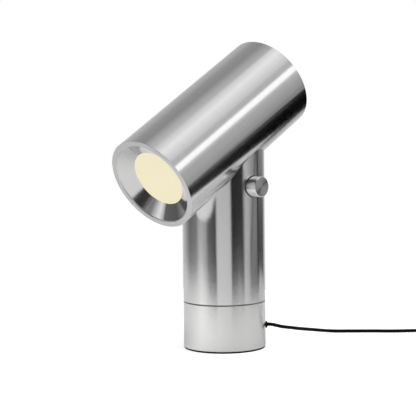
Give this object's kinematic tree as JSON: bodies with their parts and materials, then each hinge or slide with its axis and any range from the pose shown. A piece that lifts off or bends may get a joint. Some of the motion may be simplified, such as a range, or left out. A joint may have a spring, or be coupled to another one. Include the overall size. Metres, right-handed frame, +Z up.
{
  "type": "tabletop searchlight lamp",
  "caption": "Tabletop searchlight lamp: a tilted drum head saddled on a round column that swivels on a weighted base, with a dimmer knob on the column and a lead to a plug-in adapter.",
  "frame": {"origin": "middle of the foot pad's underside, on the table, on the column's axis", "axes": "+Z up along the column, -Y the way the head looks, +X out of the dimmer knob"},
  "size_m": [0.1843, 0.4688, 0.3152],
  "materials": {
    "brushed_aluminium": "satin, fine lines round the tube",
    "turned_cap": "satin, fine turned rings",
    "turned_knob": "satin, turned face with a bright bevel",
    "polished_cone": "bright turned cone",
    "mill_aluminium": "mill finish",
    "lit_diffuser": "opal, lit from behind",
    "white_plastic": "matt",
    "white_board": "matt solder mask",
    "light_chip": "phosphor",
    "black_rubber": "matt",
    "black_bush": "moulded",
    "black_lead": "smooth jacket with a soft shine",
    "white_lead": "smooth jacket",
    "tie_plastic": "flat band",
    "adapter_plastic": "fine moulded grain",
    "contact_metal": "nickel plated",
    "plain_steel": "zinc plated",
    "spring_steel": "blackened",
    "cast_ballast": "cast, painted",
    "glide_plastic": "smooth, dark",
    "fibre_disc": "pressed fibre",
    "dark_plastic": "moulded",
    "green_board": "solder mask",
    "ferrite": "sintered",
    "capacitor_sleeve": "shrunk sleeve",
    "terminal_plastic": "moulded"
  },
  "bodies": {
    "base": {"base_shell": "brushed_aluminium", "base_weight": "cast_ballast", "bottom_plate": "plain_steel", "foot_pad": "black_rubber", "plate_screw_1": "plain_steel", "plate_screw_2": "plain_steel", "plate_screw_3": "plain_steel", "cord_bush": "black_bush", "base_lead": "black_lead", "spindle": "plain_steel", "stop_pin": "plain_steel", "glide_washer": "glide_plastic", "friction_disc": "fibre_disc", "spring_washer": "spring_steel", "lock_nut": "plain_steel", "cord": "black_lead", "cord_coil": "black_lead", "coil_tie": "tie_plastic", "adapter_relief": "adapter_plastic", "power_adapter": "adapter_plastic", "contact_pin_1": "contact_metal", "contact_pin_2": "contact_metal"},
    "column": {"swivel_plate": "mill_aluminium", "column_tube": "brushed_aluminium", "column_bridge": "mill_aluminium", "tie_bolt": "plain_steel", "tie_nut": "plain_steel", "clamp_block": "mill_aluminium", "chassis": "mill_aluminium", "chassis_screw_1": "plain_steel", "chassis_screw_2": "plain_steel", "dimmer_body": "dark_plastic", "dimmer_nut": "plain_steel", "driver_board": "green_board", "driver_inductor": "ferrite", "driver_capacitor": "capacitor_sleeve", "terminal_in": "terminal_plastic", "terminal_out": "terminal_plastic", "column_lead": "black_lead", "head_lead": "white_lead", "head_tube": "brushed_aluminium", "reflector": "polished_cone", "diffuser": "lit_diffuser", "diffuser_spacer": "white_plastic", "light_board": "white_board", "light_chips": "light_chip", "sink_sleeve": "mill_aluminium", "heat_sink": "mill_aluminium", "sink_clip": "spring_steel", "end_cap": "turned_cap"},
    "knob": {"dimmer_knob": "turned_knob", "dimmer_shaft": "plain_steel"}
  },
  "joints": [
    {"name": "column_swivel", "type": "hinge", "parent": "base", "child": "column", "pos_m": [0, 0, 0.0493], "axis": [0, 0, 1], "range_deg": [-200, 130]},
    {"name": "knob_turn", "type": "hinge", "parent": "column", "child": "knob", "pos_m": [0.054, 0, 0.1688], "axis": [1, 0, 0], "range_deg": [-150, 150]}
  ]
}
